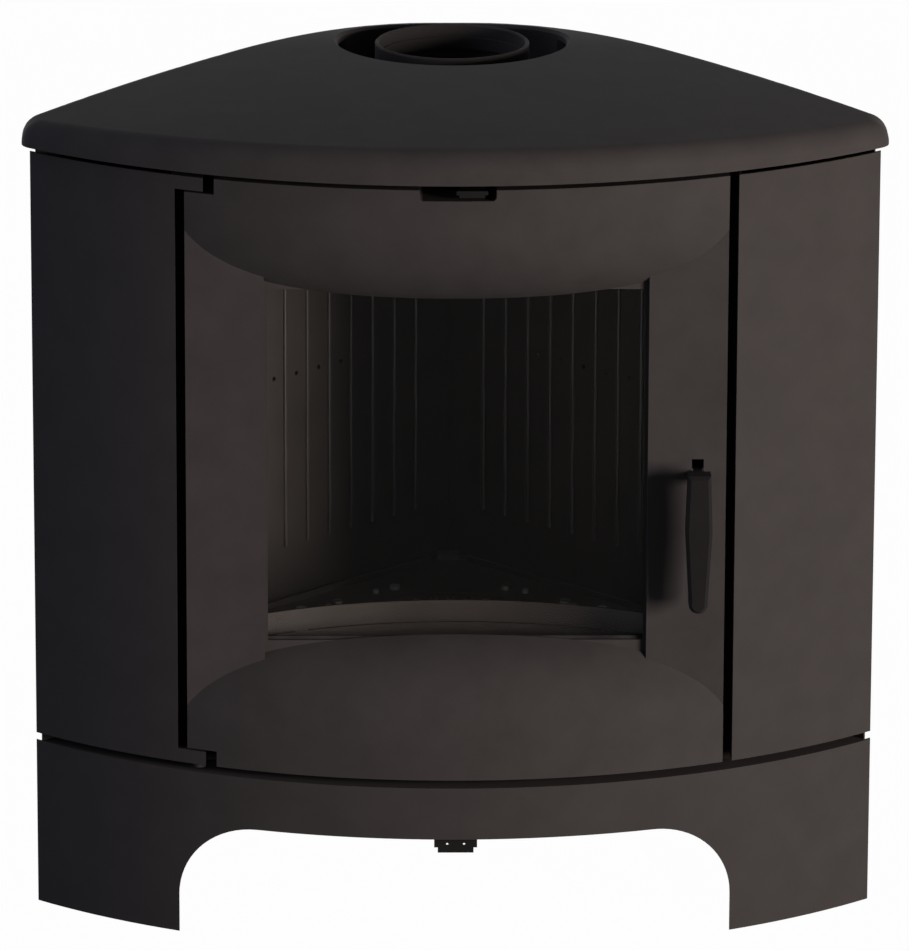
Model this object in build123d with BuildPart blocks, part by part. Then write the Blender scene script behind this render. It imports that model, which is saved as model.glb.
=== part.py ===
"""Corner wood stove: a quadrant body with a bowed front, a cast door with a glass, and a ribbed firebox.

Millimetres, +Z up. The origin is on the floor, at the middle of the footprint's box. The front looks to -Y.
Plan positions are measured from the axis of the bowed front, which stands on the centre plane, so the
front is at y = -front_radius and the room's corner is near y = 0.
"""

import os
from math import sqrt

from build123d import *

# Driving sizes: the bowed front and the heights
front_radius = 613.5
panel_half_width = 402.0
panel_inner_edge = 264.0
base_height = 163.0
panel_bottom = 171.0
panel_top = 747.0
cap_bottom = 753.0
sheet = 3.0

# Cap
cap_overhang = 8.0
cap_line = -20.0
cap_cut = -50.0
cap_peak = 801.0
cap_peak_y = -250.0
cap_front_crown = 3790.0
cap_rear_crown = 780.0
cap_side_crown = 4100.0
cap_rounding = 22.0
cap_corner_rounding = 24.0
cap_hole_radius = 111.5
cap_hole_rounding = 3.0
cap_roof = 8.0
cap_rim_width = 40.0

# Rear of the body: two walls at 45 degrees with a cut corner
shield_line = -67.0
shield_cut = -85.0
shield_sheet = 1.5
body_inset = 6.0
top_half_width = 392.0

# Flue collar
flue_y = -222.0
flue_outer = 75.0
flue_wall = 4.0
flue_relief = 1.0
flue_top = 797.0
flue_bead = 1.5
flue_step = 2.0
flue_step_depth = 12.0
flue_flange = 14.0
flue_flange_thickness = 5.0
flue_clearance = 0.5
recess_floor = 757.0

# Base
arch_height = 112.0
arch_half_width = 263.6
arch_corner = 75.0
wing_length = 80.0
rear_leg_half_width = 35.0
rear_leg_front = -150.0
rear_leg_back = -104.0

# Firebox
liner_line = -100.7
liner_thickness = 10.0
box_sheet = 4.0
box_half_width = 249.0
box_cut = -93.0
rib_first = 33.4
rib_pitch = 21.6
rib_count = 8
rib_radius = 2.3
rib_bottom = 297.3
rib_top = 640.0
air_hole_first = 86.6
air_hole_pitch = 21.7
air_hole_count = 5
air_hole_height = 471.2
air_hole_radius = 2.3
joint_gap = 0.2
liner_top = 655.0
baffle_thickness = 12.0
baffle_front = -430.0
smoke_roof = 704.0
box_floor = 230.0
ash_floor_bottom = 176.0
ash_inlet_front = -280.0
ash_inlet_back = -250.0

# Hearth
hearth_floor = 244.0
hearth_rim_top = 250.0
hearth_rim_inset = 12.0
hearth_rim_width = 3.0
hearth_rim_from = 18.0
hearth_rim_to = 180.0
grate_y = -339.0
grate_radius = 94.0
grate_clearance = 0.6
grate_thickness = 7.0
grate_ledge = 7.0
grate_slot_width = 7.0
grate_slot_pitch = 17.0
grate_slot_count = 9
grate_rim = 12.0
block_half_width = 11.3
block_front = -133.0
block_back = -113.0
block_top = 248.0
bolt_places = [(55.0, -233.0), (112.0, -283.0), (147.0, -307.0)]
stud_places = [(73.7, -247.0), (120.5, -298.0)]
bolt_radius = 5.0
stud_radius = 3.0
bolt_height = 4.0

# Log guard and the lip below it
guard_radius = 397.0
guard_centre = -875.0
guard_half_width = 180.0
guard_bottom = 287.0
guard_top = 308.0
lip_half_width = 170.0
lip_top = 286.0
lip_sheet = 6.0
guard_foot_x = 140.0
guard_foot_width = 12.0

# Ash pan
pan_half_width = 104.0
pan_back = -300.0
pan_top = 225.0
pan_sheet = 2.0

# Front frame
frame_front = -524.0
frame_sheet = 5.0
frame_top = 750.0
fire_half_width = 188.0
fire_bottom = 272.0
fire_top = 648.0
ash_half_width = 110.0
ash_bottom = 180.0
ash_top = 240.0
slide_slot_left = -36.0
slide_slot_right = 29.5
slide_slot_clearance = 0.5

# Door
door_half_width = 255.0
brow_radius = 105.0
brow_flat = 24.0
brow_bottom_flat = 27.0
recess_y = -553.5
casting_wall = 6.0
casting_half_width = 181.0
glass_opening_half_width = 178.0
glass_opening_top = 634.8
glass_opening_bottom = 290.0
lip_thickness = 4.0
door_back = -530.0
glass_half_width = 190.0
glass_bottom = 282.0
glass_top = 648.0
glass_side_clearance = 4.0
glass_thickness = 4.0
gasket_thickness = 2.0
gasket_width = 11.0
clip_thickness = 3.5
clip_seat_half_width = 199.0
clip_bottom = 302.0
clip_top = 638.0
clip_clearance = 0.5
clip_inner = 184.0
pocket_half_width = 222.0
pocket_radius = 597.0
pocket_height = 50.0
pocket_margin = 22.0
seal_inner = 200.0
seal_width = 12.0
seal_gap = 0.3
air_notch_half_width = 36.0
air_notch_depth = 10.4
air_notch_corner = 4.0

# Hinge
hinge_x = -243.5
hinge_y = -551.5
hinge_pin_radius = 4.0
hinge_pin_clearance = 0.05
tab_end = -237.4
tab_height = 13.0
lug_back = -543.0
pin_engagement = 22.0
pin_head_radius = 6.0
pin_head_height = 5.0
tab_swing_clearance = 1.0
corner_notch_height = 15.0

# Handle
lever_x = 228.2
lever_width = 8.0
lever_height = 10.0
lever_pivot_y = -538.0
lever_pivot_z = 455.0
lever_pin_radius = 3.5
lever_pin_clearance = 0.05
lever_pin_half_length = 13.0
lever_eye_radius = 7.0
bore_end = 256.0
nose_end = -510.0
slot_left = 222.6
slot_right = 233.8
slot_top = 470.2
slot_bottom = 440.0
frame_slot_left = 221.5
frame_slot_right = 236.0
frame_slot_bottom = 428.0
frame_slot_top = 466.0
keeper_depth = 18.0
keeper_wall = 2.0
grip_top = 466.0
grip_bottom = 331.0
grip_front = -600.0
grip_depth = 20.0
grip_width_top = 21.6
grip_width_middle = 25.4
grip_width_bottom = 17.7
grip_middle_z = 410.0
grip_bottom_z = 342.0
grip_bevel = 3.0

# Upper air control
upper_left = -1.3
upper_right = 28.0
upper_plate_top = 745.7
upper_plate_bottom = 741.9
upper_lip_left = 1.4
upper_lip_right = 25.3
upper_lip_bottom = 739.2
upper_front = -611.0
upper_sheet = 2.0
upper_back = -480.0
guide_half_width = 70.0
guide_back = -470.0
guide_gap = 0.5

# Lower air control
lower_half_width = 20.4
lower_lip_half_width = 17.0
lower_top = 111.5
lower_plate_bottom = 100.7
lower_lip_bottom = 95.5
lower_front = -603.0
lower_sheet = 2.0
lower_strip_top = 110.5
lower_strip_back = -425.0
lower_hole_x = 8.0
lower_hole_radius = 1.2
air_box_half_width = 45.0
air_box_front = -590.0
air_box_back = -380.0
air_box_bottom = 106.0
inlet_half_width = 13.0
inlet_front = -470.0
inlet_back = -432.0

# Worked-out places
cap_radius = front_radius + cap_overhang
cap_half_width = panel_half_width + cap_overhang
body_half_width = panel_half_width - body_inset
inner_radius = front_radius - sheet
deck_bottom = base_height - sheet
arc_y = (cap_radius - cap_cut) / 2
frame_back = frame_front + frame_sheet
lip_y = recess_y + casting_wall
glass_front = lip_y + lip_thickness + gasket_thickness
glass_back = glass_front + glass_thickness
box_inner_half = box_half_width - box_sheet
box_inner_line = liner_line + liner_thickness * sqrt(2)
box_outer_line = box_inner_line + box_sheet * sqrt(2)
box_inner_cut = box_cut - box_sheet
seal_outer = seal_inner + seal_width
seal_bottom = fire_bottom - (seal_outer - fire_half_width)
seal_top = fire_top + (seal_outer - fire_half_width)

tab_corner_depth = -sqrt(front_radius**2 - tab_end**2)
tab_reach = sqrt((tab_end - hinge_x) ** 2 + (tab_corner_depth - hinge_y) ** 2)
corner_notch_end = hinge_x + tab_reach + tab_swing_clearance

os.makedirs("parts", exist_ok=True)


def level(height):
    """A plan sketch's plane at this height, with its origin on the axis of the bowed front."""
    return Plane(origin=(0, arc_y, height), x_dir=(1, 0, 0), z_dir=(0, 0, 1))


def facing(depth):
    """A plane that looks to the front at this depth: sketch x is to the right and sketch y is up."""
    return Plane(origin=(0, arc_y + depth, 0), x_dir=(1, 0, 0), z_dir=(0, -1, 0))


def sideways(x):
    """A plane that looks to the right at this x: sketch x is to the rear and sketch y is up."""
    return Plane(origin=(x, arc_y, 0), x_dir=(0, 1, 0), z_dir=(1, 0, 0))


def bow(radius, x):
    """The depth at x of an arc of this radius round the axis of the bowed front."""
    return -sqrt(radius**2 - x**2)


def quadrant(radius, half_width, line, cut):
    """Plan outline with a bowed front, short sides, two walls at 45 degrees and a cut corner."""
    side_front = bow(radius, half_width)
    with BuildLine() as outline:
        ThreePointArc((-half_width, side_front), (0, -radius), (half_width, side_front))
        Polyline(
            (half_width, side_front),
            (half_width, line - half_width),
            (line - cut, cut),
            (cut - line, cut),
            (-half_width, line - half_width),
            (-half_width, side_front),
        )
    make_face(outline.edges())


def bowed_sheet(radius, thickness, x_from, x_to):
    """Plan outline of a sheet that follows the bowed front between two values of x."""
    inner = radius - thickness
    middle = (x_from + x_to) / 2
    with BuildLine() as outline:
        ThreePointArc((x_from, bow(radius, x_from)), (middle, bow(radius, middle)), (x_to, bow(radius, x_to)))
        Line((x_to, bow(radius, x_to)), (x_to, bow(inner, x_to)))
        ThreePointArc((x_to, bow(inner, x_to)), (middle, bow(inner, middle)), (x_from, bow(inner, x_from)))
        Line((x_from, bow(inner, x_from)), (x_from, bow(radius, x_from)))
    make_face(outline.edges())


def firebox_plan(half_width, line, cut, front):
    """Plan outline of the firebox: straight cheeks, walls at 45 degrees and a cut corner."""
    with BuildLine() as outline:
        Polyline(
            (-half_width, front),
            (half_width, front),
            (half_width, line - half_width),
            (line - cut, cut),
            (cut - line, cut),
            (-half_width, line - half_width),
            close=True,
        )
    make_face(outline.edges())


def wall_strip(side, line, thickness, x_from, x_to):
    """Plan outline of a sheet along a 45 degree wall, inside the line, between two values of x."""
    inner_line = line - thickness * sqrt(2)
    with BuildLine() as outline:
        Polyline(
            (side * x_from, line - x_from),
            (side * x_to, line - x_to),
            (side * x_to, inner_line - x_to),
            (side * x_from, inner_line - x_from),
            close=True,
        )
    make_face(outline.edges())


def block(x_from, x_to, y_from, y_to):
    """Plan outline of a rectangle between two values of x and two depths."""
    with Locations(((x_from + x_to) / 2, (y_from + y_to) / 2)):
        Rectangle(x_to - x_from, y_to - y_from)


def crown(radius, reach):
    """The height of the cap's crown this far from its peak along an arc of this radius."""
    return cap_peak - radius + sqrt(radius**2 - reach**2)


def dome_profile(drop):
    """The cap's crown on the centre plane, this far below its upper face, as a closed outline."""
    front_reach = 400.0
    rear_reach = 240.0
    floor = cap_bottom - 60.0
    peak = (cap_peak_y, cap_peak - drop)
    front = (cap_peak_y - front_reach, crown(cap_front_crown, front_reach) - drop)
    front_middle = (cap_peak_y - front_reach / 2, crown(cap_front_crown, front_reach / 2) - drop)
    rear = (cap_peak_y + rear_reach, crown(cap_rear_crown, rear_reach) - drop)
    rear_middle = (cap_peak_y + rear_reach / 2, crown(cap_rear_crown, rear_reach / 2) - drop)
    with BuildLine() as outline:
        ThreePointArc(front, front_middle, peak)
        ThreePointArc(peak, rear_middle, rear)
        Polyline(rear, (rear[0], floor), (front[0], floor), front)
    make_face(outline.edges())


def finish(piece, name):
    """Labels a piece and writes it."""
    piece.part.label = name
    export_step(piece.part, "parts/" + name + ".step")


# Cap: a domed casting, hollow below, with a hole round the flue collar
crown_axis = Axis((0, 0, cap_peak - cap_side_crown), (0, 1, 0))

with BuildPart() as cap_cavity:
    with BuildSketch(level(cap_bottom)):
        quadrant(
            cap_radius - cap_rim_width,
            cap_half_width - cap_rim_width,
            cap_line - cap_rim_width * sqrt(2),
            cap_cut - cap_rim_width,
        )
    extrude(amount=60)
    with BuildSketch(sideways(0)):
        dome_profile(cap_roof)
    revolve(axis=crown_axis, mode=Mode.INTERSECT)

with BuildPart() as cap:
    with BuildSketch(level(cap_bottom)):
        quadrant(cap_radius, cap_half_width, cap_line, cap_cut)
    extrude(amount=60)
    fillet(cap.edges().filter_by(Axis.Z), cap_corner_rounding)
    with BuildSketch(sideways(0)):
        dome_profile(0)
    revolve(axis=crown_axis, mode=Mode.INTERSECT)
    level_edges = cap.edges().filter_by(Axis.Z, reverse=True)
    rim_edges = level_edges.filter_by(lambda edge: cap_bottom + 1 < edge.center().Z < cap_peak - 5)
    fillet(rim_edges, cap_rounding)
    with BuildSketch(level(cap_bottom)):
        with Locations((0, flue_y)):
            Circle(cap_hole_radius)
    extrude(amount=60, mode=Mode.SUBTRACT)
    flue_axis = Vector(0, arc_y + flue_y, 0)
    hole_edges = cap.edges().filter_by(
        lambda edge: edge.center().Z > cap_bottom + 1
        and abs((Vector((edge @ 0).X, (edge @ 0).Y, 0) - flue_axis).length - cap_hole_radius) < 0.01
        and abs((Vector((edge @ 1).X, (edge @ 1).Y, 0) - flue_axis).length - cap_hole_radius) < 0.01
    )
    chamfer(hole_edges.filter_by(Axis.Z, reverse=True), cap_hole_rounding)
    add(cap_cavity.part, mode=Mode.SUBTRACT)
finish(cap, "cap")

# Recess plate round the flue collar, under the cap's hole
with BuildPart() as recess_plate:
    with BuildSketch(level(cap_bottom)):
        with Locations((0, flue_y)):
            Circle(cap_hole_radius - flue_clearance)
            Circle(flue_outer + flue_clearance, mode=Mode.SUBTRACT)
    extrude(amount=recess_floor - cap_bottom)
finish(recess_plate, "recess_plate")

# Flue collar: a spigot with a rounded rim, a step inside and a flange on the firebox top
flue_foot = smoke_roof + box_sheet
with BuildPart() as flue_collar:
    with BuildSketch(sideways(0)):
        with BuildLine():
            Polyline(
                (flue_y + flue_outer - flue_wall, flue_foot),
                (flue_y + flue_outer + flue_flange, flue_foot),
                (flue_y + flue_outer + flue_flange, flue_foot + flue_flange_thickness),
                (flue_y + flue_outer - flue_relief, flue_foot + flue_flange_thickness),
                (flue_y + flue_outer - flue_relief, recess_floor),
                (flue_y + flue_outer, recess_floor),
                (flue_y + flue_outer, flue_top),
                (flue_y + flue_outer - flue_wall, flue_top),
                (flue_y + flue_outer - flue_wall, flue_top - flue_step_depth),
                (flue_y + flue_outer - flue_wall - flue_step, flue_top - flue_step_depth),
                (flue_y + flue_outer - flue_wall - flue_step, flue_top - 2 * flue_step_depth),
                (flue_y + flue_outer - flue_wall, flue_top - 2 * flue_step_depth),
                close=True,
            )
        make_face()
    revolve(axis=Axis((0, arc_y + flue_y, 0), (0, 0, 1)))
    chamfer(flue_collar.edges().group_by(Axis.Z)[-1], flue_bead)
finish(flue_collar, "flue_collar")

# Top plate: carries the cap, closes the body and lets the collar through
with BuildPart() as top_plate:
    with BuildSketch(level(frame_top)):
        quadrant(inner_radius - body_inset, top_half_width, shield_line, shield_cut)
        with Locations((0, flue_y)):
            Circle(flue_outer + flue_clearance, mode=Mode.SUBTRACT)
    extrude(amount=cap_bottom - frame_top)
finish(top_plate, "top_plate")

# Base deck, with the air inlet
with BuildPart() as base_deck:
    with BuildSketch(level(deck_bottom)):
        quadrant(inner_radius, body_half_width, shield_line, shield_cut)
    extrude(amount=sheet)
    with BuildSketch(level(deck_bottom)):
        block(-inlet_half_width, inlet_half_width, inlet_front, inlet_back)
    extrude(amount=sheet, mode=Mode.SUBTRACT)
finish(base_deck, "base_deck")

# Base panel: a bowed sheet with an arch between two feet
with BuildPart() as base_panel:
    with BuildSketch(level(0)):
        bowed_sheet(front_radius, sheet, -panel_half_width, panel_half_width)
    extrude(amount=base_height)
    with BuildSketch(facing(-540)):
        arch_flat = arch_half_width - arch_corner
        arch_spring = arch_height - arch_corner
        corner_reach = arch_corner / sqrt(2)
        with BuildLine():
            Polyline(
                (-arch_half_width, arch_spring),
                (-arch_half_width, -5),
                (arch_half_width, -5),
                (arch_half_width, arch_spring),
            )
            ThreePointArc(
                (arch_half_width, arch_spring),
                (arch_flat + corner_reach, arch_spring + corner_reach),
                (arch_flat, arch_height),
            )
            Line((arch_flat, arch_height), (-arch_flat, arch_height))
            ThreePointArc(
                (-arch_flat, arch_height),
                (-arch_flat - corner_reach, arch_spring + corner_reach),
                (-arch_half_width, arch_spring),
            )
        make_face()
    extrude(amount=100, mode=Mode.SUBTRACT)
finish(base_panel, "base_panel")

# Rear leg: a channel under the rear of the deck
with BuildPart() as rear_leg:
    with BuildSketch(level(0)):
        block(-rear_leg_half_width, rear_leg_half_width, rear_leg_front, rear_leg_back)
        with Locations((0, (rear_leg_front + rear_leg_back) / 2 - sheet)):
            Rectangle(
                2 * (rear_leg_half_width - sheet),
                rear_leg_back - rear_leg_front,
                mode=Mode.SUBTRACT,
            )
    extrude(amount=deck_bottom)
finish(rear_leg, "rear_leg")


def base_wing(side):
    """A stiffening sheet behind one foot of the base, along the 45 degree wall."""
    with BuildPart() as wing:
        with BuildSketch(level(0)):
            wall_strip(side, shield_line, sheet, body_half_width - wing_length, panel_half_width)
            Circle(inner_radius, mode=Mode.INTERSECT)
        extrude(amount=deck_bottom)
    return wing


def rear_shield(side):
    """A convection sheet along one 45 degree wall, from the cut corner to the tip of the side panel."""
    with BuildPart() as shield:
        with BuildSketch(level(base_height)):
            wall_strip(side, shield_line, shield_sheet, shield_line - shield_cut, panel_half_width)
            Circle(inner_radius, mode=Mode.INTERSECT)
        extrude(amount=frame_top - base_height)
    return shield


def firebrick(side):
    """A ribbed liner plate on one 45 degree wall, with a row of air holes."""
    back_reach = box_inner_line - box_inner_cut
    end = box_inner_half - joint_gap
    with BuildPart() as liner:
        with BuildSketch(level(box_floor + box_sheet)):
            with BuildLine():
                Polyline(
                    (side * joint_gap, liner_line - joint_gap),
                    (side * end, liner_line - end),
                    (side * end, box_inner_line - end),
                    (side * back_reach, box_inner_cut),
                    (side * joint_gap, box_inner_cut),
                    close=True,
                )
            make_face()
        extrude(amount=liner_top - box_floor - box_sheet)
        with BuildSketch(level(rib_bottom)):
            for rib in range(rib_count):
                reach = rib_first + rib * rib_pitch
                with Locations((side * reach, liner_line - reach)):
                    Circle(rib_radius)
        extrude(amount=rib_top - rib_bottom)
        for hole in range(air_hole_count):
            reach = air_hole_first + hole * air_hole_pitch
            start = (side * reach, arc_y + liner_line - reach, air_hole_height)
            with BuildSketch(Plane(origin=start, z_dir=(side, 1, 0))):
                Circle(air_hole_radius)
            extrude(amount=liner_thickness + 1, both=True, mode=Mode.SUBTRACT)
    return liner


for side_name, side in (("left", -1), ("right", 1)):
    finish(base_wing(side), side_name + "_base_wing")
    finish(rear_shield(side), side_name + "_rear_shield")
    finish(firebrick(side), side_name + "_liner")

# Corner strip: closes the cut corner between the two shields
with BuildPart() as corner_strip:
    with BuildSketch(level(base_height)):
        strip_reach = shield_line - shield_cut
        block(-strip_reach, strip_reach, shield_cut - shield_sheet, shield_cut)
    extrude(amount=frame_top - base_height)
finish(corner_strip, "corner_strip")

# Firebox: walls, the plate under the ash pan, the grate's floor and the roof
with BuildPart() as firebox_walls:
    with BuildSketch(level(base_height)):
        firebox_plan(box_half_width, box_outer_line, box_cut, frame_back)
    extrude(amount=frame_top - base_height)
    with BuildSketch(level(base_height)):
        firebox_plan(box_inner_half, box_inner_line, box_inner_cut, frame_back)
    extrude(amount=frame_top - base_height, mode=Mode.SUBTRACT)
finish(firebox_walls, "firebox_walls")

with BuildPart() as ash_floor:
    with BuildSketch(level(ash_floor_bottom)):
        firebox_plan(box_inner_half, box_inner_line, box_inner_cut, frame_back)
    extrude(amount=box_sheet)
    with BuildSketch(level(ash_floor_bottom)):
        block(-inlet_half_width, inlet_half_width, ash_inlet_front, ash_inlet_back)
    extrude(amount=box_sheet, mode=Mode.SUBTRACT)
finish(ash_floor, "ash_floor")

with BuildPart() as firebox_floor:
    with BuildSketch(level(box_floor)):
        firebox_plan(box_inner_half, box_inner_line, box_inner_cut, frame_back)
        with Locations((0, grate_y)):
            Circle(grate_radius - grate_ledge, mode=Mode.SUBTRACT)
    extrude(amount=box_sheet)
finish(firebox_floor, "firebox_floor")

with BuildPart() as firebox_top:
    with BuildSketch(level(smoke_roof)):
        firebox_plan(box_inner_half, box_inner_line, box_inner_cut, frame_back)
        with Locations((0, flue_y)):
            Circle(flue_outer - flue_wall, mode=Mode.SUBTRACT)
    extrude(amount=box_sheet)
finish(firebox_top, "firebox_top")

# Baffle: rests on the liners and leaves the front open to the smoke
with BuildPart() as baffle:
    with BuildSketch(level(liner_top)):
        firebox_plan(
            box_inner_half - joint_gap,
            box_inner_line - joint_gap,
            box_inner_cut - joint_gap,
            baffle_front,
        )
    extrude(amount=baffle_thickness)
finish(baffle, "baffle")

# Hearth: a plate between the liners with a seat for the grate and two low rims
hearth_bottom = box_floor + box_sheet
with BuildPart() as hearth:
    with BuildSketch(level(hearth_bottom)):
        firebox_plan(
            box_inner_half - joint_gap,
            liner_line - joint_gap,
            liner_line - 2 * joint_gap,
            frame_back + joint_gap,
        )
    extrude(amount=hearth_floor - hearth_bottom)
    rim_line = liner_line - hearth_rim_inset * sqrt(2)
    with BuildSketch(level(hearth_floor)):
        for side in (-1, 1):
            wall_strip(side, rim_line, hearth_rim_width, hearth_rim_from, hearth_rim_to)
    extrude(amount=hearth_rim_top - hearth_floor)
    with BuildSketch(level(hearth_bottom)):
        with Locations((0, grate_y)):
            Circle(grate_radius - grate_ledge)
    extrude(amount=hearth_floor - hearth_bottom, mode=Mode.SUBTRACT)
    with BuildSketch(level(hearth_floor - grate_thickness)):
        with Locations((0, grate_y)):
            Circle(grate_radius + grate_clearance)
    extrude(amount=grate_thickness, mode=Mode.SUBTRACT)
finish(hearth, "hearth")

with BuildPart() as grate:
    with BuildSketch(level(hearth_floor - grate_thickness)):
        with Locations((0, grate_y)):
            Circle(grate_radius)
    extrude(amount=grate_thickness)
    with BuildSketch(level(hearth_floor - grate_thickness)):
        for slot in range(grate_slot_count):
            across = (slot - (grate_slot_count - 1) / 2) * grate_slot_pitch
            slot_length = 2 * sqrt((grate_radius - grate_rim) ** 2 - across**2)
            with Locations((across, grate_y)):
                SlotOverall(slot_length, grate_slot_width, rotation=90)
    extrude(amount=grate_thickness, mode=Mode.SUBTRACT)
finish(grate, "grate")

with BuildPart() as rear_block:
    with BuildSketch(level(hearth_floor)):
        block(-block_half_width, block_half_width, block_front, block_back)
    extrude(amount=block_top - hearth_floor)
finish(rear_block, "rear_block")


def fastener_heads(places, radius):
    """Round heads on the hearth at these places and at their mirrored places."""
    for x, y in places:
        with Locations((x, y), (-x, y)):
            Circle(radius)


with BuildPart() as hearth_bolts:
    with BuildSketch(level(hearth_floor)):
        fastener_heads(bolt_places, bolt_radius)
        fastener_heads(stud_places, stud_radius)
    extrude(amount=bolt_height)
finish(hearth_bolts, "hearth_bolts")


def hollow_bow(radius, thickness, half_width):
    """Plan outline of a sheet that bows away from the front, as the log guard does."""
    outer = radius + thickness

    def depth(arc, x):
        return guard_centre + sqrt(arc**2 - x**2)

    with BuildLine() as outline:
        ThreePointArc(
            (-half_width, depth(radius, half_width)),
            (0, depth(radius, 0)),
            (half_width, depth(radius, half_width)),
        )
        Line((half_width, depth(radius, half_width)), (half_width, depth(outer, half_width)))
        ThreePointArc(
            (half_width, depth(outer, half_width)),
            (0, depth(outer, 0)),
            (-half_width, depth(outer, half_width)),
        )
        Line((-half_width, depth(outer, half_width)), (-half_width, depth(radius, half_width)))
    make_face(outline.edges())


# Hearth lip, and the log guard that stands on it on two feet
with BuildPart() as hearth_lip:
    with BuildSketch(level(hearth_floor)):
        hollow_bow(guard_radius, lip_sheet, lip_half_width)
    extrude(amount=lip_top - hearth_floor)
finish(hearth_lip, "hearth_lip")

with BuildPart() as log_guard:
    with BuildSketch(level(guard_bottom)):
        hollow_bow(guard_radius, sheet, guard_half_width)
    extrude(amount=guard_top - guard_bottom)
    with BuildSketch(level(lip_top)):
        hollow_bow(guard_radius, sheet, guard_foot_x + guard_foot_width)
        Rectangle(2 * guard_foot_x, 4 * guard_radius, mode=Mode.SUBTRACT)
    extrude(amount=guard_bottom - lip_top)
finish(log_guard, "log_guard")

# Ash pan: an open tray on the ash floor
with BuildPart() as ash_pan:
    with BuildSketch(level(ash_bottom)):
        block(-pan_half_width, pan_half_width, frame_front, pan_back)
    extrude(amount=pan_top - ash_bottom)
    with BuildSketch(level(ash_bottom + pan_sheet)):
        block(
            -pan_half_width + pan_sheet,
            pan_half_width - pan_sheet,
            frame_front + pan_sheet,
            pan_back - pan_sheet,
        )
    extrude(amount=pan_top - ash_bottom, mode=Mode.SUBTRACT)
finish(ash_pan, "ash_pan")


def front_block(x_from, x_to, z_from, z_to):
    """Outline of a rectangle seen from the front between two values of x and two heights."""
    with Locations(((x_from + x_to) / 2, (z_from + z_to) / 2)):
        Rectangle(x_to - x_from, z_to - z_from)


# Front frame: a plate with the fire opening, the ash opening and slots for the latch and the air slide
with BuildPart() as front_frame:
    with BuildSketch(facing(frame_back)):
        front_block(-panel_inner_edge, panel_inner_edge, base_height, frame_top)
    extrude(amount=frame_sheet)
    with BuildSketch(facing(frame_back)):
        front_block(-fire_half_width, fire_half_width, fire_bottom, fire_top)
        front_block(-ash_half_width, ash_half_width, ash_bottom, ash_top)
        front_block(frame_slot_left, frame_slot_right, frame_slot_bottom, frame_slot_top)
        front_block(
            slide_slot_left,
            slide_slot_right,
            upper_plate_top - upper_sheet - slide_slot_clearance,
            upper_plate_top + slide_slot_clearance,
        )
    extrude(amount=frame_sheet, mode=Mode.SUBTRACT)
finish(front_frame, "front_frame")

# Latch keeper: a closed pocket behind the frame's latch slot
with BuildPart() as latch_keeper:
    with BuildSketch(facing(frame_back + keeper_depth)):
        front_block(
            frame_slot_left - keeper_wall,
            frame_slot_right + keeper_wall,
            frame_slot_bottom - keeper_wall,
            frame_slot_top + keeper_wall,
        )
    extrude(amount=keeper_depth)
    with BuildSketch(facing(frame_back + keeper_depth - keeper_wall)):
        front_block(frame_slot_left, frame_slot_right, frame_slot_bottom, frame_slot_top)
    extrude(amount=keeper_depth - keeper_wall, mode=Mode.SUBTRACT)
finish(latch_keeper, "latch_keeper")


def side_panel(side):
    """A bowed sheet beside the door with a flange at its inner edge; the left one carries the hinge tabs."""
    inner = side * panel_inner_edge
    with BuildPart() as panel:
        with BuildSketch(level(panel_bottom)):
            bowed_sheet(front_radius, sheet, inner, side * panel_half_width)
        extrude(amount=panel_top - panel_bottom)
        with BuildSketch(level(panel_bottom)):
            block(
                min(inner, inner + side * sheet),
                max(inner, inner + side * sheet),
                bow(inner_radius, panel_inner_edge) - 1,
                frame_back,
            )
        extrude(amount=panel_top - panel_bottom)
        if side < 0:
            for tab_bottom in (panel_bottom, panel_top - tab_height):
                with BuildSketch(level(tab_bottom)):
                    bowed_sheet(front_radius, sheet, inner, tab_end)
                extrude(amount=tab_height)
    return panel


finish(side_panel(-1), "left_side_panel")
finish(side_panel(1), "right_side_panel")


def hinge_lug(bottom):
    """The block behind a hinge tab that holds a hinge pin."""
    with BuildPart() as lug:
        with BuildSketch(level(bottom)):
            block(-panel_inner_edge, tab_end, -inner_radius, lug_back)
            Circle(inner_radius, mode=Mode.INTERSECT)
            with Locations((hinge_x, hinge_y)):
                Circle(hinge_pin_radius, mode=Mode.SUBTRACT)
        extrude(amount=tab_height)
    return lug


finish(hinge_lug(panel_bottom), "lower_hinge_lug")
finish(hinge_lug(panel_top - tab_height), "upper_hinge_lug")

with BuildPart() as upper_hinge_pin:
    with BuildSketch(level(panel_top - tab_height - pin_engagement)):
        with Locations((hinge_x, hinge_y)):
            Circle(hinge_pin_radius)
    extrude(amount=tab_height + pin_engagement)
finish(upper_hinge_pin, "upper_hinge_pin")

with BuildPart() as lower_hinge_pin:
    with BuildSketch(level(panel_bottom)):
        with Locations((hinge_x, hinge_y)):
            Circle(hinge_pin_radius)
    extrude(amount=tab_height + pin_engagement)
    with BuildSketch(level(panel_bottom - pin_head_height)):
        with Locations((hinge_x, hinge_y)):
            Circle(pin_head_radius)
    extrude(amount=pin_head_height)
finish(lower_hinge_pin, "lower_hinge_pin")

# Door: a bowed casting whose brow and bulge roll back to a flat face round the glass
brow_z = panel_top - brow_flat
bulge_z = panel_bottom + brow_bottom_flat
roll_axis = brow_radius - front_radius
roll_reach = brow_radius / sqrt(2)

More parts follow.
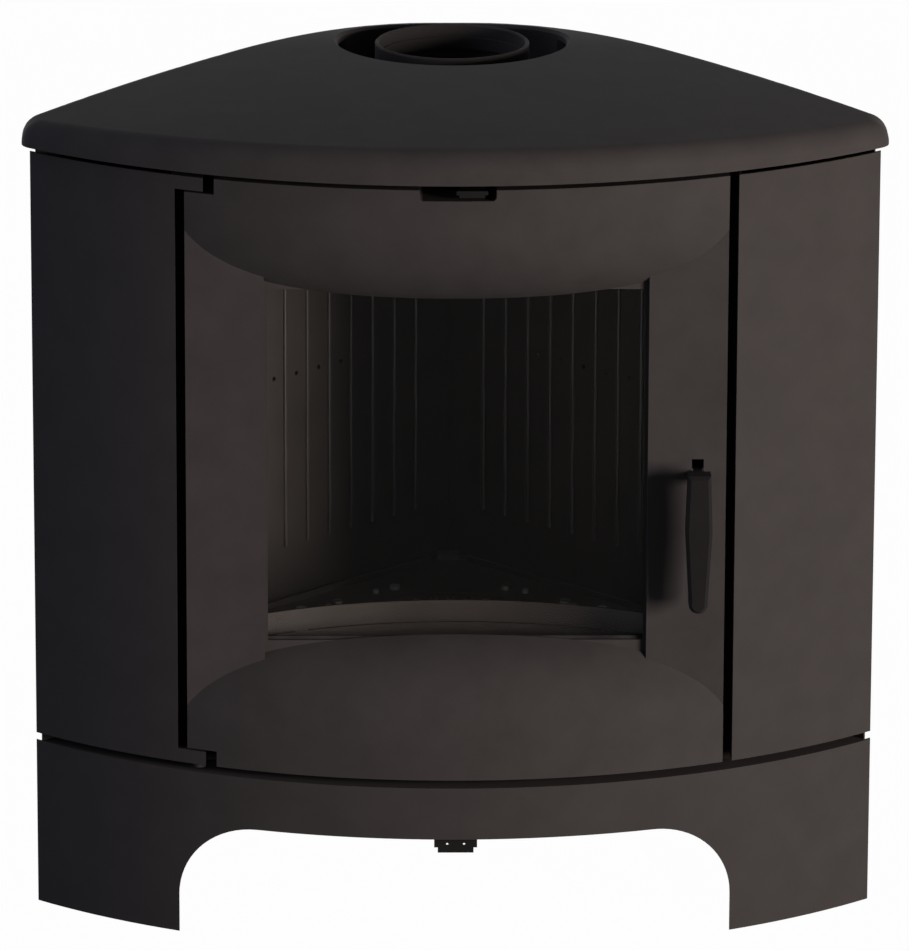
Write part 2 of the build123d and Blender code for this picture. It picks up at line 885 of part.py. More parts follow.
with BuildPart() as door_front_cut:
    with BuildSketch(sideways(0)):
        with BuildLine():
            ThreePointArc(
                (-front_radius, brow_z),
                (roll_axis - roll_reach, brow_z - roll_reach),
                (roll_axis, brow_z - brow_radius),
            )
            Line((roll_axis, brow_z - brow_radius), (roll_axis, bulge_z + brow_radius))
            ThreePointArc(
                (roll_axis, bulge_z + brow_radius),
                (roll_axis - roll_reach, bulge_z + roll_reach),
                (-front_radius, bulge_z),
            )
            Polyline(
                (-front_radius, bulge_z),
                (-cap_radius - 40, bulge_z),
                (-cap_radius - 40, brow_z),
                (-front_radius, brow_z),
            )
        make_face()
    revolve(axis=Axis((0, arc_y, 0), (0, 0, 1)))
    with BuildSketch(level(0)):
        block(-cap_radius, cap_radius, -cap_radius - 40, recess_y)
        block(-casting_half_width, casting_half_width, -cap_radius - 40, lip_y)
    extrude(amount=cap_peak, mode=Mode.INTERSECT)


def door_plan(radius, half_width, back):
    """Plan outline between the bowed front of this radius and a flat back."""
    with BuildLine() as outline:
        ThreePointArc((-half_width, bow(radius, half_width)), (0, -radius), (half_width, bow(radius, half_width)))
        Polyline(
            (half_width, bow(radius, half_width)),
            (half_width, back),
            (-half_width, back),
            (-half_width, bow(radius, half_width)),
        )
    make_face(outline.edges())


cut_depth = 110.0
pin_bore_radius = hinge_pin_radius + hinge_pin_clearance
pin_bore_length = pin_engagement

with BuildPart() as door_shell:
    with BuildSketch(level(panel_bottom)):
        door_plan(front_radius, door_half_width, door_back)
    extrude(amount=panel_top - panel_bottom)
    add(door_front_cut.part, mode=Mode.SUBTRACT)
    for pocket_bottom in (panel_bottom + pocket_margin, panel_top - pocket_margin - pocket_height):
        with BuildSketch(level(pocket_bottom)):
            door_plan(pocket_radius, pocket_half_width, door_back)
        extrude(amount=pocket_height, mode=Mode.SUBTRACT)
    with BuildSketch(facing(door_back)):
        front_block(
            -glass_opening_half_width,
            glass_opening_half_width,
            glass_opening_bottom,
            glass_opening_top,
        )
    extrude(amount=door_back - lip_y, mode=Mode.SUBTRACT)
    with BuildSketch(facing(door_back)):
        front_block(
            -glass_half_width - glass_side_clearance,
            glass_half_width + glass_side_clearance,
            glass_bottom - glass_side_clearance,
            glass_top + glass_side_clearance,
        )
    extrude(amount=door_back - lip_y - lip_thickness, mode=Mode.SUBTRACT)
    with BuildSketch(facing(door_back)):
        front_block(
            -clip_seat_half_width,
            clip_seat_half_width,
            clip_bottom - clip_clearance,
            clip_top + clip_clearance,
        )
    extrude(amount=door_back - glass_back, mode=Mode.SUBTRACT)
    with BuildSketch(facing(frame_front)):
        front_block(slot_left, slot_right, slot_bottom, slot_top)
        front_block(-door_half_width - 5, corner_notch_end, panel_top - corner_notch_height, panel_top + 5)
        front_block(-door_half_width - 5, corner_notch_end, panel_bottom - 5, panel_bottom + corner_notch_height)
    extrude(amount=cut_depth, mode=Mode.SUBTRACT)
    with BuildSketch(facing(frame_front)) as air_notch:
        front_block(
            -air_notch_half_width,
            air_notch_half_width,
            panel_top - air_notch_depth,
            panel_top + air_notch_depth,
        )
        fillet(air_notch.vertices().group_by(Axis.Z)[0], air_notch_corner)
    extrude(amount=cut_depth, mode=Mode.SUBTRACT)
    with BuildSketch(level(panel_bottom + corner_notch_height)):
        with Locations((hinge_x, hinge_y)):
            Circle(pin_bore_radius)
    extrude(amount=pin_bore_length, mode=Mode.SUBTRACT)
    with BuildSketch(level(panel_top - corner_notch_height - pin_bore_length)):
        with Locations((hinge_x, hinge_y)):
            Circle(pin_bore_radius)
    extrude(amount=pin_bore_length, mode=Mode.SUBTRACT)
    with BuildSketch(sideways(lever_x - lever_pin_half_length)):
        with Locations((lever_pivot_y, lever_pivot_z)):
            Circle(lever_pin_radius)
    extrude(amount=bore_end - lever_x + lever_pin_half_length, mode=Mode.SUBTRACT)
finish(door_shell, "door_shell")

# Glass, its gasket and the clips that hold it
with BuildPart() as glass_gasket:
    with BuildSketch(facing(glass_front)):
        front_block(-glass_half_width, glass_half_width, glass_bottom, glass_top)
        with Locations((0, (glass_bottom + glass_top) / 2)):
            Rectangle(
                2 * (glass_half_width - gasket_width),
                glass_top - glass_bottom - 2 * gasket_width,
                mode=Mode.SUBTRACT,
            )
    extrude(amount=gasket_thickness)
finish(glass_gasket, "glass_gasket")

with BuildPart() as glass_pane:
    with BuildSketch(facing(glass_back)):
        front_block(-glass_half_width, glass_half_width, glass_bottom, glass_top)
    extrude(amount=glass_thickness)
finish(glass_pane, "glass_pane")

clip_outer = clip_seat_half_width - clip_clearance
with BuildPart() as glass_clips:
    with BuildSketch(facing(glass_back + clip_thickness)):
        front_block(clip_inner, clip_outer, clip_bottom, clip_top)
        front_block(-clip_outer, -clip_inner, clip_bottom, clip_top)
    extrude(amount=clip_thickness)
finish(glass_clips, "glass_clips")

# Door seal: a rope in a ring on the door's back
with BuildPart() as door_seal:
    with BuildSketch(facing(frame_front - seal_gap)):
        front_block(-seal_outer, seal_outer, seal_bottom, seal_top)
        with Locations((0, (seal_bottom + seal_top) / 2)):
            Rectangle(2 * seal_inner, seal_top - seal_bottom - 2 * seal_width, mode=Mode.SUBTRACT)
    extrude(amount=frame_front - seal_gap - door_back)
finish(door_seal, "door_seal")

# Handle: a lever bar on a cross pin, with a grip that hangs in front of the recess
with BuildPart() as lever_pin:
    with BuildSketch(sideways(lever_x - lever_pin_half_length)):
        with Locations((lever_pivot_y, lever_pivot_z)):
            Circle(lever_pin_radius)
    extrude(amount=2 * lever_pin_half_length)
finish(lever_pin, "lever_pin")

grip_back = grip_front + grip_depth
with BuildPart() as lever_bar:
    with BuildSketch(sideways(lever_x - lever_width / 2)):
        with Locations(((grip_back + nose_end) / 2, lever_pivot_z)):
            Rectangle(nose_end - grip_back, lever_height)
        with Locations((lever_pivot_y, lever_pivot_z)):
            Circle(lever_eye_radius)
            Circle(lever_pin_radius + lever_pin_clearance, mode=Mode.SUBTRACT)
    extrude(amount=lever_width)
finish(lever_bar, "lever_bar")

with BuildPart() as grip:
    with BuildSketch(facing(grip_back)):
        with BuildLine():
            Polyline(
                (lever_x - grip_width_bottom / 2, grip_bottom_z),
                (lever_x - grip_width_middle / 2, grip_middle_z),
                (lever_x - grip_width_top / 2, grip_top),
                (lever_x + grip_width_top / 2, grip_top),
                (lever_x + grip_width_middle / 2, grip_middle_z),
                (lever_x + grip_width_bottom / 2, grip_bottom_z),
            )
            ThreePointArc(
                (lever_x + grip_width_bottom / 2, grip_bottom_z),
                (lever_x, grip_bottom),
                (lever_x - grip_width_bottom / 2, grip_bottom_z),
            )
        make_face()
    extrude(amount=grip_depth)
    chamfer(grip.faces().sort_by(Axis.Y)[0].edges(), grip_bevel)
finish(grip, "grip")

# Upper air control: a slide through the door's notch, over a guide in the air chamber
with BuildPart() as upper_air_slide:
    with BuildSketch(level(upper_plate_top - upper_sheet)):
        block(upper_lip_left, upper_lip_right, upper_front, upper_back)
    extrude(amount=upper_sheet)
    with BuildSketch(facing(upper_front + upper_sheet)):
        front_block(upper_left, upper_right, upper_plate_bottom, upper_plate_top)
        front_block(upper_lip_left, upper_lip_right, upper_lip_bottom, upper_plate_bottom)
    extrude(amount=upper_sheet)
finish(upper_air_slide, "upper_air_slide")

with BuildPart() as upper_air_guide:
    with BuildSketch(level(upper_lip_bottom)):
        block(-guide_half_width, guide_half_width, frame_back, guide_back)
        with Locations(((upper_lip_left + upper_lip_right) / 2, (frame_back + guide_back) / 2)):
            Rectangle(upper_lip_right - upper_lip_left - 6, 15, mode=Mode.SUBTRACT)
    extrude(amount=upper_plate_top - upper_sheet - guide_gap - upper_lip_bottom)
finish(upper_air_guide, "upper_air_guide")

# Lower air control: a pull under the arch, over the inlet in the floor of the air box
with BuildPart() as lower_air_slide:
    with BuildSketch(level(lower_strip_top - lower_sheet)):
        block(-lower_lip_half_width, lower_lip_half_width, lower_front, lower_strip_back)
    extrude(amount=lower_sheet)
    with BuildSketch(facing(lower_front + lower_sheet)):
        front_block(-lower_half_width, lower_half_width, lower_plate_bottom, lower_top)
        front_block(-lower_lip_half_width, lower_lip_half_width, lower_lip_bottom, lower_plate_bottom)
        with Locations((-lower_hole_x, 104), (lower_hole_x, 104)):
            Circle(lower_hole_radius, mode=Mode.SUBTRACT)
    extrude(amount=lower_sheet)
finish(lower_air_slide, "lower_air_slide")

air_box_floor = air_box_bottom + lower_sheet
with BuildPart() as lower_air_box:
    with BuildSketch(level(air_box_bottom)):
        block(-air_box_half_width, air_box_half_width, air_box_front, air_box_back)
    extrude(amount=deck_bottom - air_box_bottom)
    with BuildSketch(level(air_box_floor)):
        block(
            -air_box_half_width + lower_sheet,
            air_box_half_width - lower_sheet,
            air_box_front + lower_sheet,
            air_box_back - lower_sheet,
        )
    extrude(amount=deck_bottom - air_box_floor, mode=Mode.SUBTRACT)
    with BuildSketch(level(air_box_bottom)):
        block(-inlet_half_width, inlet_half_width, inlet_front, inlet_back)
    extrude(amount=lower_sheet, mode=Mode.SUBTRACT)
    with BuildSketch(level(air_box_floor)):
        block(
            -lower_lip_half_width - 1,
            lower_lip_half_width + 1,
            air_box_front - 1,
            air_box_front + lower_sheet,
        )
    extrude(amount=lower_sheet + 1, mode=Mode.SUBTRACT)
finish(lower_air_box, "lower_air_box")
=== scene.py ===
"""A corner wood stove, dressed from its CAD nodes, in a plain studio, seen from the photograph's angle."""

import logging
import math
from dataclasses import dataclass
from enum import Enum

import bmesh
import bpy
from mathutils import Matrix, Vector


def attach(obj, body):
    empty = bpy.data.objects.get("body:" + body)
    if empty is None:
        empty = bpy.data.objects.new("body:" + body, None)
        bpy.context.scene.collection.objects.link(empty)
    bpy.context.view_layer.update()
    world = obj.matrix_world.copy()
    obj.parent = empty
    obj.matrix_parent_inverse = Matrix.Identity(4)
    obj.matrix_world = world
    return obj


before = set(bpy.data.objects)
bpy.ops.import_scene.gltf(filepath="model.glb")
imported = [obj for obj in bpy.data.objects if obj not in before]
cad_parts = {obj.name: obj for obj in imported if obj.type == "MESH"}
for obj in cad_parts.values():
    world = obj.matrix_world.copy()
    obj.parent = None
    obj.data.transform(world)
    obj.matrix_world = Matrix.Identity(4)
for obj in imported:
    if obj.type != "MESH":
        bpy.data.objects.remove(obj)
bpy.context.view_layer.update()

LOG = logging.getLogger("stove")

# The plan's own origin, the axis of the bowed front, lies this far behind the middle of the footprint.
BOW_AXIS_Y = 0.33575

# The noise that spreads a finish's colour patches, and the part of its range over which they change.
MOTTLE_DETAIL = 4.0
MOTTLE_ROUGHNESS = 0.6
MOTTLE_FROM = 0.3
MOTTLE_TO = 0.7

# A weave's wave is drawn at a twentieth of its grain's scale.
WEAVE_DIVISOR = 20


class Making(Enum):
    """How a surface was made, which sets the form of its fine relief."""

    SPRAYED = "sprayed"
    SAND_CAST = "sand cast"
    ROLLED = "rolled"
    WOVEN = "woven"


def linear(hex_colour: str) -> tuple[float, float, float, float]:
    """Turns an sRGB hex colour to linear.

    Args:
        hex_colour: six hex digits, with or without a hash.

    Returns:
        The linear red, green and blue, and an alpha of 1.
    """
    digits = hex_colour.lstrip("#")
    channels = [int(digits[i : i + 2], 16) / 255 for i in (0, 2, 4)]
    turned = [c / 12.92 if c <= 0.04045 else ((c + 0.055) / 1.055) ** 2.4 for c in channels]
    return (turned[0], turned[1], turned[2], 1.0)


def add_node(
    tree: bpy.types.NodeTree,
    kind: str,
    settings: dict[str, object] | None = None,
    inputs: dict[str, object] | None = None,
    links: dict[str, bpy.types.NodeSocket] | None = None,
) -> bpy.types.Node:
    """Adds a node with its settings, its input values and its links.

    Args:
        tree: the node tree.
        kind: the node's type name.
        settings: attributes to set on the node.
        inputs: socket values by socket name.
        links: sockets to link in, by socket name.

    Returns:
        The node.
    """
    node = tree.nodes.new(kind)
    for name, value in (settings or {}).items():
        setattr(node, name, value)
    for name, value in (inputs or {}).items():
        node.inputs[name].default_value = value
    for name, socket in (links or {}).items():
        tree.links.new(socket, node.inputs[name])
    return node


@dataclass(frozen=True)
class Finish:
    """A real surface: what it is made of, its colour and its fine relief.

    Attributes:
        name: the material's common name.
        dark: sRGB hex of its darker patches.
        light: sRGB hex of its lighter patches.
        roughness: the surface's roughness.
        metallic: 1 for bare metal.
        specular: the specular level, set low on the paint to match how little it mirrors in the photograph.
        made: how the surface was made.
        grain_mm: the size of one grain of its relief, in millimetres.
        relief_mm: the depth of that relief, in millimetres.
        mottle_mm: the size of its colour patches, in millimetres.
    """

    name: str
    dark: str
    light: str
    roughness: float
    metallic: float = 0.0
    specular: float = 0.012
    made: Making = Making.SPRAYED
    grain_mm: float = 1.0
    relief_mm: float = 0.02
    mottle_mm: float = 40.0

    def material(self) -> bpy.types.Material:
        """Builds the material.

        Returns:
            The material, with its patches and relief in object space.
        """
        material = bpy.data.materials.new(self.name)
        material.use_nodes = True
        tree = material.node_tree
        tree.nodes.clear()
        place = add_node(tree, "ShaderNodeTexCoord")
        mottle = add_node(
            tree,
            "ShaderNodeTexNoise",
            inputs={
                "Scale": 1000 / self.mottle_mm,
                "Detail": MOTTLE_DETAIL,
                "Roughness": MOTTLE_ROUGHNESS,
            },
            links={"Vector": place.outputs["Object"]},
        )
        ramp = add_node(tree, "ShaderNodeValToRGB", links={"Fac": mottle.outputs["Fac"]})
        ramp.color_ramp.elements[0].position = MOTTLE_FROM
        ramp.color_ramp.elements[0].color = linear(self.dark)
        ramp.color_ramp.elements[1].position = MOTTLE_TO
        ramp.color_ramp.elements[1].color = linear(self.light)
        bump = add_node(
            tree,
            "ShaderNodeBump",
            inputs={"Strength": 1.0, "Distance": self.relief_mm / 1000},
            links={"Height": self.relief(tree, place)},
        )
        shader = add_node(
            tree,
            "ShaderNodeBsdfPrincipled",
            inputs={
                "Roughness": self.roughness,
                "Metallic": self.metallic,
                "Specular IOR Level": self.specular,
            },
            links={"Base Color": ramp.outputs["Color"], "Normal": bump.outputs["Normal"]},
        )
        add_node(tree, "ShaderNodeOutputMaterial", links={"Surface": shader.outputs["BSDF"]})
        return material

    def relief(self, tree: bpy.types.NodeTree, place: bpy.types.Node) -> bpy.types.NodeSocket:
        """Adds the height pattern that its making leaves.

        Args:
            tree: the material's node tree.
            place: the texture coordinates.

        Returns:
            The height socket.
        """
        scale = 1000 / self.grain_mm
        if self.made is Making.WOVEN:
            wave = add_node(
                tree,
                "ShaderNodeTexWave",
                settings={"bands_direction": "DIAGONAL"},
                inputs={"Scale": scale / WEAVE_DIVISOR, "Distortion": 1.0},
                links={"Vector": place.outputs["Object"]},
            )
            return wave.outputs["Fac"]
        if self.made is Making.SAND_CAST:
            cells = add_node(
                tree,
                "ShaderNodeTexVoronoi",
                settings={"feature": "SMOOTH_F1"},
                inputs={"Scale": scale},
                links={"Vector": place.outputs["Object"]},
            )
            return cells.outputs["Distance"]
        noise = add_node(
            tree,
            "ShaderNodeTexNoise",
            inputs={"Scale": scale, "Detail": 2.0},
            links={"Vector": place.outputs["Object"]},
        )
        return noise.outputs["Fac"]


# Heat paint, sprayed matt over sheet steel: a fine even grain that spreads the light softly. The real
# grain is finer than a pixel, so it is drawn at 1.2 mm.
PANEL_PAINT = Finish("sprayed heat paint on sheet steel", "#363434", "#3a3838", 0.58, grain_mm=1.2)

# The same paint over sand-cast iron: a slightly coarser skin.
CASTING_PAINT = Finish(
    "sprayed heat paint on cast iron",
    "#363434",
    "#3b3939",
    0.55,
    made=Making.SAND_CAST,
    grain_mm=1.6,
    relief_mm=0.03,
)

# The handle's paint, a little smoother where it is held.
HANDLE_PAINT = Finish(
    "smooth heat paint on cast iron", "#161515", "#1a1919", 0.42, specular=0.05, grain_mm=1.0, relief_mm=0.01
)

# Uncoated plate inside the firebox, dulled to a brown black.
FIREBOX_PLATE = Finish("hot rolled steel plate", "#201d1b", "#2a2623", 0.7, made=Making.ROLLED, grain_mm=2.0)

# Cast liner plates and hearth: brown grey, with ribs that catch the light.
LINER_IRON = Finish(
    "sand cast iron liner",
    "#2f2c2a",
    "#393532",
    0.45,
    specular=0.5,
    made=Making.SAND_CAST,
    grain_mm=2.0,
    relief_mm=0.04,
)

# The log guard and the lip under it: cast iron, a little darker than the liners and less shiny.
GUARD_IRON = Finish(
    "rubbed cast iron guard",
    "#2d2927",
    "#34302e",
    0.5,
    specular=0.2,
    made=Making.SAND_CAST,
    grain_mm=1.6,
    relief_mm=0.03,
)

# Turned steel pins and bolts: bright and slightly brushed.
TURNED_STEEL = Finish(
    "turned steel", "#9a9a98", "#a8a8a6", 0.34, metallic=1.0, specular=0.5, made=Making.ROLLED, grain_mm=0.8
)

# Braided glass fibre, dark grey: rope and flat gasket.
GLASS_ROPE = Finish(
    "braided glass fibre", "#1f1f1f", "#333333", 0.9, made=Making.WOVEN, grain_mm=3.0, relief_mm=0.3
)


@dataclass(frozen=True)
class CeramicGlass:
    """Clear glass ceramic pane: drawn flat and polished, so the firebox shows through it almost undimmed.

    Attributes:
        tint: sRGB hex of the faint grey that the pane adds.
        cover: the share of light that the pane holds back.
        roughness: the polish of its faces.
    """

    tint: str = "#141210"
    cover: float = 0.05
    roughness: float = 0.05

    def material(self) -> bpy.types.Material:
        """Builds the material.

        Returns:
            The material, nearly see-through, with its polish.
        """
        material = bpy.data.materials.new("clear glass ceramic")
        material.use_nodes = True
        tree = material.node_tree
        tree.nodes.clear()
        shader = add_node(
            tree,
            "ShaderNodeBsdfPrincipled",
            inputs={"Base Color": linear(self.tint), "Roughness": self.roughness, "Alpha": self.cover},
        )
        add_node(tree, "ShaderNodeOutputMaterial", links={"Surface": shader.outputs["BSDF"]})
        return material


class Wardrobe:
    """Builds each finish once and puts it on nodes."""

    def __init__(self) -> None:
        """Starts with nothing built."""
        self.built: dict[str, bpy.types.Material] = {}

    def wear(self, piece: bpy.types.Object, finish: Finish | CeramicGlass) -> None:
        """Puts a finish on a piece.

        Args:
            piece: a mesh object.
            finish: what it is made of.
        """
        key = repr(finish)
        if key not in self.built:
            self.built[key] = finish.material()
        piece.data.materials.clear()
        piece.data.materials.append(self.built[key])


@dataclass(frozen=True)
class Assembly:
    """A group of CAD nodes and their finishes.

    Attributes:
        title: what the group is, for the log.
        finishes: the finish of each CAD node.
        smooth_deg: edges sharper than this stay sharp.
    """

    title: str
    finishes: dict[str, Finish | CeramicGlass]
    smooth_deg: float = 28.0

    def dress(self, wardrobe: Wardrobe) -> None:
        """Puts each node's finish on it and smooths its curved faces.

        Args:
            wardrobe: the materials.
        """
        for name, finish in self.finishes.items():
            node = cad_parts[name]
            wardrobe.wear(node, finish)
            node.data.shade_smooth()
            node.data.set_sharp_from_angle(angle=math.radians(self.smooth_deg))
            LOG.info("%s: %s dressed", self.title, name)


@dataclass(frozen=True)
class ClipScrews:
    """The round heads of the screws that hold the glass clips to the door's back.

    Attributes:
        across_mm: each column's distance from the centre plane.
        lowest_mm: the lowest head's height.
        pitch_mm: the distance between heads.
        count: the heads in a column.
        back_mm: the clips' back face, from the bow's axis.
        radius_mm: a head's radius.
        height_mm: a head's height.
        facets: the sides of a head's circle.
    """

    across_mm: float = 196.25
    lowest_mm: float = 320.0
    pitch_mm: float = 100.0
    count: int = 4
    back_mm: float = -534.0
    radius_mm: float = 2.2
    height_mm: float = 1.2
    facets: int = 20

    def build(self, wardrobe: Wardrobe) -> None:
        """Builds the heads as one mesh that rides on the door.

        Args:
            wardrobe: the materials.
        """
        mesh = bpy.data.meshes.new("clip_screw_heads")
        shape = bmesh.new()
        for side in (-1, 1):
            for step in range(self.count):
                centre = Vector(
                    (
                        side * self.across_mm / 1000,
                        BOW_AXIS_Y + (self.back_mm + self.height_mm / 2) / 1000,
                        (self.lowest_mm + step * self.pitch_mm) / 1000,
                    )
                )
                turn = Matrix.Translation(centre) @ Matrix.Rotation(math.radians(90), 4, "X")
                bmesh.ops.create_cone(
                    shape,
                    cap_ends=True,
                    segments=self.facets,
                    radius1=self.radius_mm / 1000,
                    radius2=self.radius_mm / 1000,
                    depth=self.height_mm / 1000,
                    matrix=turn,
                )
        shape.to_mesh(mesh)
        shape.free()
        heads = bpy.data.objects.new("clip_screw_heads", mesh)
        bpy.context.scene.collection.objects.link(heads)
        wardrobe.wear(heads, TURNED_STEEL)
        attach(heads, "door")
        LOG.info("door: clip screw heads built")


@dataclass(frozen=True)
class Studio:
    """A pale floor, a white surround and soft lamps.

    Attributes:
        floor_size: the floor's side, in metres.
        floor_white: the share of white that the floor shows where it is seen; the rest keeps the shadow.
        floor_matt: sRGB hex of the floor as the light falls on it.
        surround: the strength of the light from all round.
        aim_height: the height on the stove that the lamps face, in metres.
        key_w: the warm lamp at the front right, in watts.
        fill_w: the cool lamp above on the left, in watts.
        side_w: the faint cool lamp low on the left, in watts.
    """

    floor_size: float = 40.0
    floor_white: float = 0.985
    floor_matt: str = "#8c8c8c"
    surround: float = 0.05
    aim_height: float = 0.45
    key_w: float = 250.0
    fill_w: float = 24.0
    side_w: float = 22.0

    def build(self) -> None:
        """Builds the floor, the surround and the lamps."""
        self.floor()
        self.world()
        self.lamp("warm key", place=(3.2, -2.9, 0.9), size=1.4, power=self.key_w, tint="#fff1e9")
        self.lamp("cool fill", place=(-2.6, 0.6, 3.0), size=2.2, power=self.fill_w, tint="#dfe6ff")
        self.lamp("cool side", place=(-3.4, -1.2, 1.0), size=1.6, power=self.side_w, tint="#d2dcff")

    def seen(self, tree: bpy.types.NodeTree) -> bpy.types.NodeSocket:
        """Adds a value of 1 for rays that show the background.

        These are the camera's rays, and those that metal and glass send.

        Args:
            tree: the floor's or the surround's node tree.

        Returns:
            The value's socket.
        """
        rays = add_node(tree, "ShaderNodeLightPath")
        mirrored = add_node(tree, "ShaderNodeMath", settings={"operation": "MAXIMUM"})
        tree.links.new(rays.outputs["Is Glossy Ray"], mirrored.inputs[0])
        tree.links.new(rays.outputs["Is Transmission Ray"], mirrored.inputs[1])
        shown = add_node(tree, "ShaderNodeMath", settings={"operation": "MAXIMUM"})
        tree.links.new(rays.outputs["Is Camera Ray"], shown.inputs[0])
        tree.links.new(mirrored.outputs[0], shown.inputs[1])
        return shown.outputs[0]

    def floor(self) -> None:
        """Builds the floor, which shows white, also in metal and glass, and keeps the shadow."""
        bpy.ops.mesh.primitive_plane_add(size=self.floor_size, location=(0, 0, 0))
        floor = bpy.context.object
        floor.name = "floor"
        material = bpy.data.materials.new("pale studio floor")
        material.use_nodes = True
        tree = material.node_tree
        tree.nodes.clear()
        share = add_node(
            tree,
            "ShaderNodeMath",
            settings={"operation": "MULTIPLY"},
            links={"Value": self.seen(tree)},
        )
        share.inputs[1].default_value = self.floor_white
        matt = add_node(tree, "ShaderNodeBsdfDiffuse", inputs={"Color": linear(self.floor_matt)})
        glow = add_node(tree, "ShaderNodeEmission", inputs={"Color": (1, 1, 1, 1), "Strength": 1.0})
        mix = add_node(tree, "ShaderNodeMixShader", links={"Fac": share.outputs[0]})
        tree.links.new(matt.outputs["BSDF"], mix.inputs[1])
        tree.links.new(glow.outputs["Emission"], mix.inputs[2])
        add_node(tree, "ShaderNodeOutputMaterial", links={"Surface": mix.outputs["Shader"]})
        floor.data.materials.append(material)

    def world(self) -> None:
        """Makes the surround show white, also in metal and glass, and dim as light."""
        world = bpy.data.worlds.new("studio")
        bpy.context.scene.world = world
        world.use_nodes = True
        tree = world.node_tree
        tree.nodes.clear()
        light = add_node(
            tree,
            "ShaderNodeBackground",
            inputs={"Color": (1, 1, 1, 1), "Strength": self.surround},
        )
        white = add_node(tree, "ShaderNodeBackground", inputs={"Color": (1, 1, 1, 1), "Strength": 1.0})
        mix = add_node(tree, "ShaderNodeMixShader", links={"Fac": self.seen(tree)})
        tree.links.new(light.outputs["Background"], mix.inputs[1])
        tree.links.new(white.outputs["Background"], mix.inputs[2])
        add_node(tree, "ShaderNodeOutputWorld", links={"Surface": mix.outputs["Shader"]})

    def lamp(
        self, name: str, place: tuple[float, float, float], size: float, power: float, tint: str
    ) -> None:
        """Adds a square lamp that faces the stove.

        Args:
            name: the lamp's name.
            place: where it stands, in metres.
            size: its side, in metres.
            power: its power in watts.
            tint: sRGB hex of its light.
        """
        data = bpy.data.lights.new(name, "AREA")
        data.size = size
        data.energy = power
        data.color = linear(tint)[:3]
        lamp = bpy.data.objects.new(name, data)
        lamp.location = place
        towards = Vector((0, 0, self.aim_height)) - Vector(place)
        lamp.rotation_euler = towards.to_track_quat("-Z", "Y").to_euler()
        bpy.context.scene.collection.objects.link(lamp)


@dataclass(frozen=True)
class PhotoCamera:
    """The photograph's camera, solved from points on the stove.

    Attributes:
        place: where it stands, in metres.
        azimuth_deg: its turn about the vertical.
        elevation_deg: its height above the horizon, as an angle.
        roll_deg: its turn about its own axis.
        focal_px: its focal length in pixels of the photograph.
        centre_px: where its axis meets the picture.
        picture_px: the photograph's width and height.
        sensor_mm: the sensor's long side, in millimetres.
        reach: how far the camera sees, in metres.
    """

    place: tuple[float, float, float] = (-0.1192, -7.9826 + BOW_AXIS_Y, 2.6256)
    azimuth_deg: float = -0.889
    elevation_deg: float = 16.291
    roll_deg: float = 0.19
    focal_px: float = 8200.27
    centre_px: tuple[float, float] = (451.935, 475.785)
    picture_px: tuple[int, int] = (909, 950)
    sensor_mm: float = 36.0
    reach: float = 100.0

    def build(self) -> None:
        """Creates the camera and makes it the scene's."""
        a = math.radians(self.azimuth_deg)
        e = math.radians(self.elevation_deg)
        r = math.radians(self.roll_deg)
        back = Vector((math.sin(a) * math.cos(e), -math.cos(a) * math.cos(e), math.sin(e)))
        right = Vector((math.cos(a), math.sin(a), 0))
        up = back.cross(right)
        right_turned = right * math.cos(r) + up * math.sin(r)
        up_turned = up * math.cos(r) - right * math.sin(r)
        width, height = self.picture_px
        long_side = max(width, height)
        data = bpy.data.cameras.new("photograph")
        data.sensor_width = self.sensor_mm
        data.lens = self.focal_px / long_side * self.sensor_mm
        data.shift_x = (width / 2 - self.centre_px[0]) / long_side
        data.shift_y = (self.centre_px[1] - height / 2) / long_side
        data.clip_end = self.reach
        camera = bpy.data.objects.new("photograph", data)
        turn = Matrix((right_turned, up_turned, back)).transposed().to_4x4()
        camera.matrix_world = Matrix.Translation(Vector(self.place)) @ turn
        bpy.context.scene.collection.objects.link(camera)
        bpy.context.scene.camera = camera


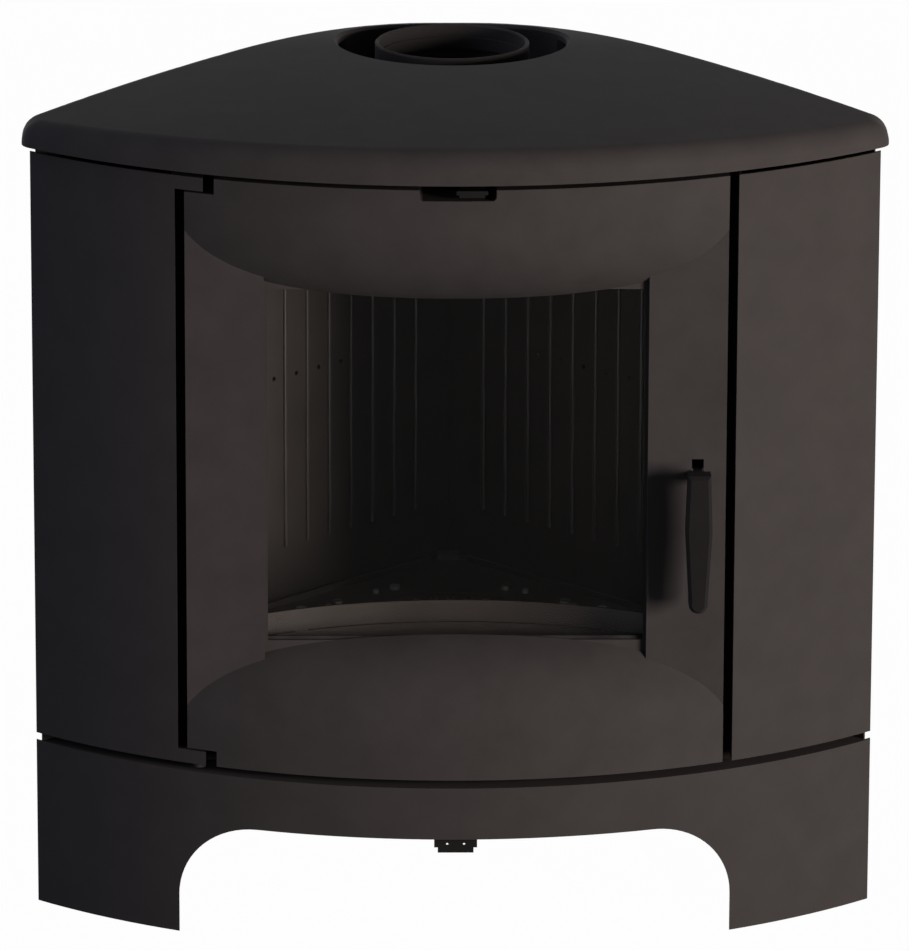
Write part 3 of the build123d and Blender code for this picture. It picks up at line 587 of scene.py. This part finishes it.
BODY = Assembly(
    "body",
    {
        "cap": CASTING_PAINT,
        "flue_collar": CASTING_PAINT,
        "recess_plate": PANEL_PAINT,
        "top_plate": PANEL_PAINT,
        "base_deck": PANEL_PAINT,
        "base_panel": PANEL_PAINT,
        "left_base_wing": PANEL_PAINT,
        "right_base_wing": PANEL_PAINT,
        "rear_leg": PANEL_PAINT,
        "left_side_panel": PANEL_PAINT,
        "right_side_panel": PANEL_PAINT,
        "left_rear_shield": PANEL_PAINT,
        "right_rear_shield": PANEL_PAINT,
        "corner_strip": PANEL_PAINT,
        "upper_hinge_lug": PANEL_PAINT,
        "lower_hinge_lug": PANEL_PAINT,
        "upper_hinge_pin": PANEL_PAINT,
        "lower_hinge_pin": PANEL_PAINT,
    },
)

FIREBOX = Assembly(
    "firebox",
    {
        "firebox_walls": FIREBOX_PLATE,
        "firebox_floor": FIREBOX_PLATE,
        "firebox_top": FIREBOX_PLATE,
        "ash_floor": FIREBOX_PLATE,
        "front_frame": FIREBOX_PLATE,
        "latch_keeper": FIREBOX_PLATE,
        "ash_pan": FIREBOX_PLATE,
        "left_liner": LINER_IRON,
        "right_liner": LINER_IRON,
        "baffle": LINER_IRON,
        "hearth": LINER_IRON,
        "grate": LINER_IRON,
        "rear_block": LINER_IRON,
        "log_guard": GUARD_IRON,
        "hearth_lip": GUARD_IRON,
        "hearth_bolts": TURNED_STEEL,
    },
)

DOOR = Assembly(
    "door",
    {
        "door_shell": CASTING_PAINT,
        "glass_pane": CeramicGlass(),
        "glass_gasket": GLASS_ROPE,
        "glass_clips": FIREBOX_PLATE,
        "door_seal": GLASS_ROPE,
        "lever_pin": TURNED_STEEL,
    },
)

HANDLE = Assembly("handle", {"lever_bar": HANDLE_PAINT, "grip": HANDLE_PAINT})

AIR_CONTROLS = Assembly(
    "air controls",
    {
        "upper_air_slide": HANDLE_PAINT,
        "upper_air_guide": FIREBOX_PLATE,
        "lower_air_slide": HANDLE_PAINT,
        "lower_air_box": PANEL_PAINT,
    },
)


def main() -> None:
    """Builds the studio, dresses each assembly and sets the camera."""
    logging.basicConfig(level=logging.INFO)
    bpy.context.scene.view_settings.view_transform = "Standard"
    wardrobe = Wardrobe()
    for assembly in (BODY, FIREBOX, DOOR, HANDLE, AIR_CONTROLS):
        assembly.dress(wardrobe)
    ClipScrews().build(wardrobe)
    Studio().build()
    PhotoCamera().build()


if __name__ == "__main__":
    main()
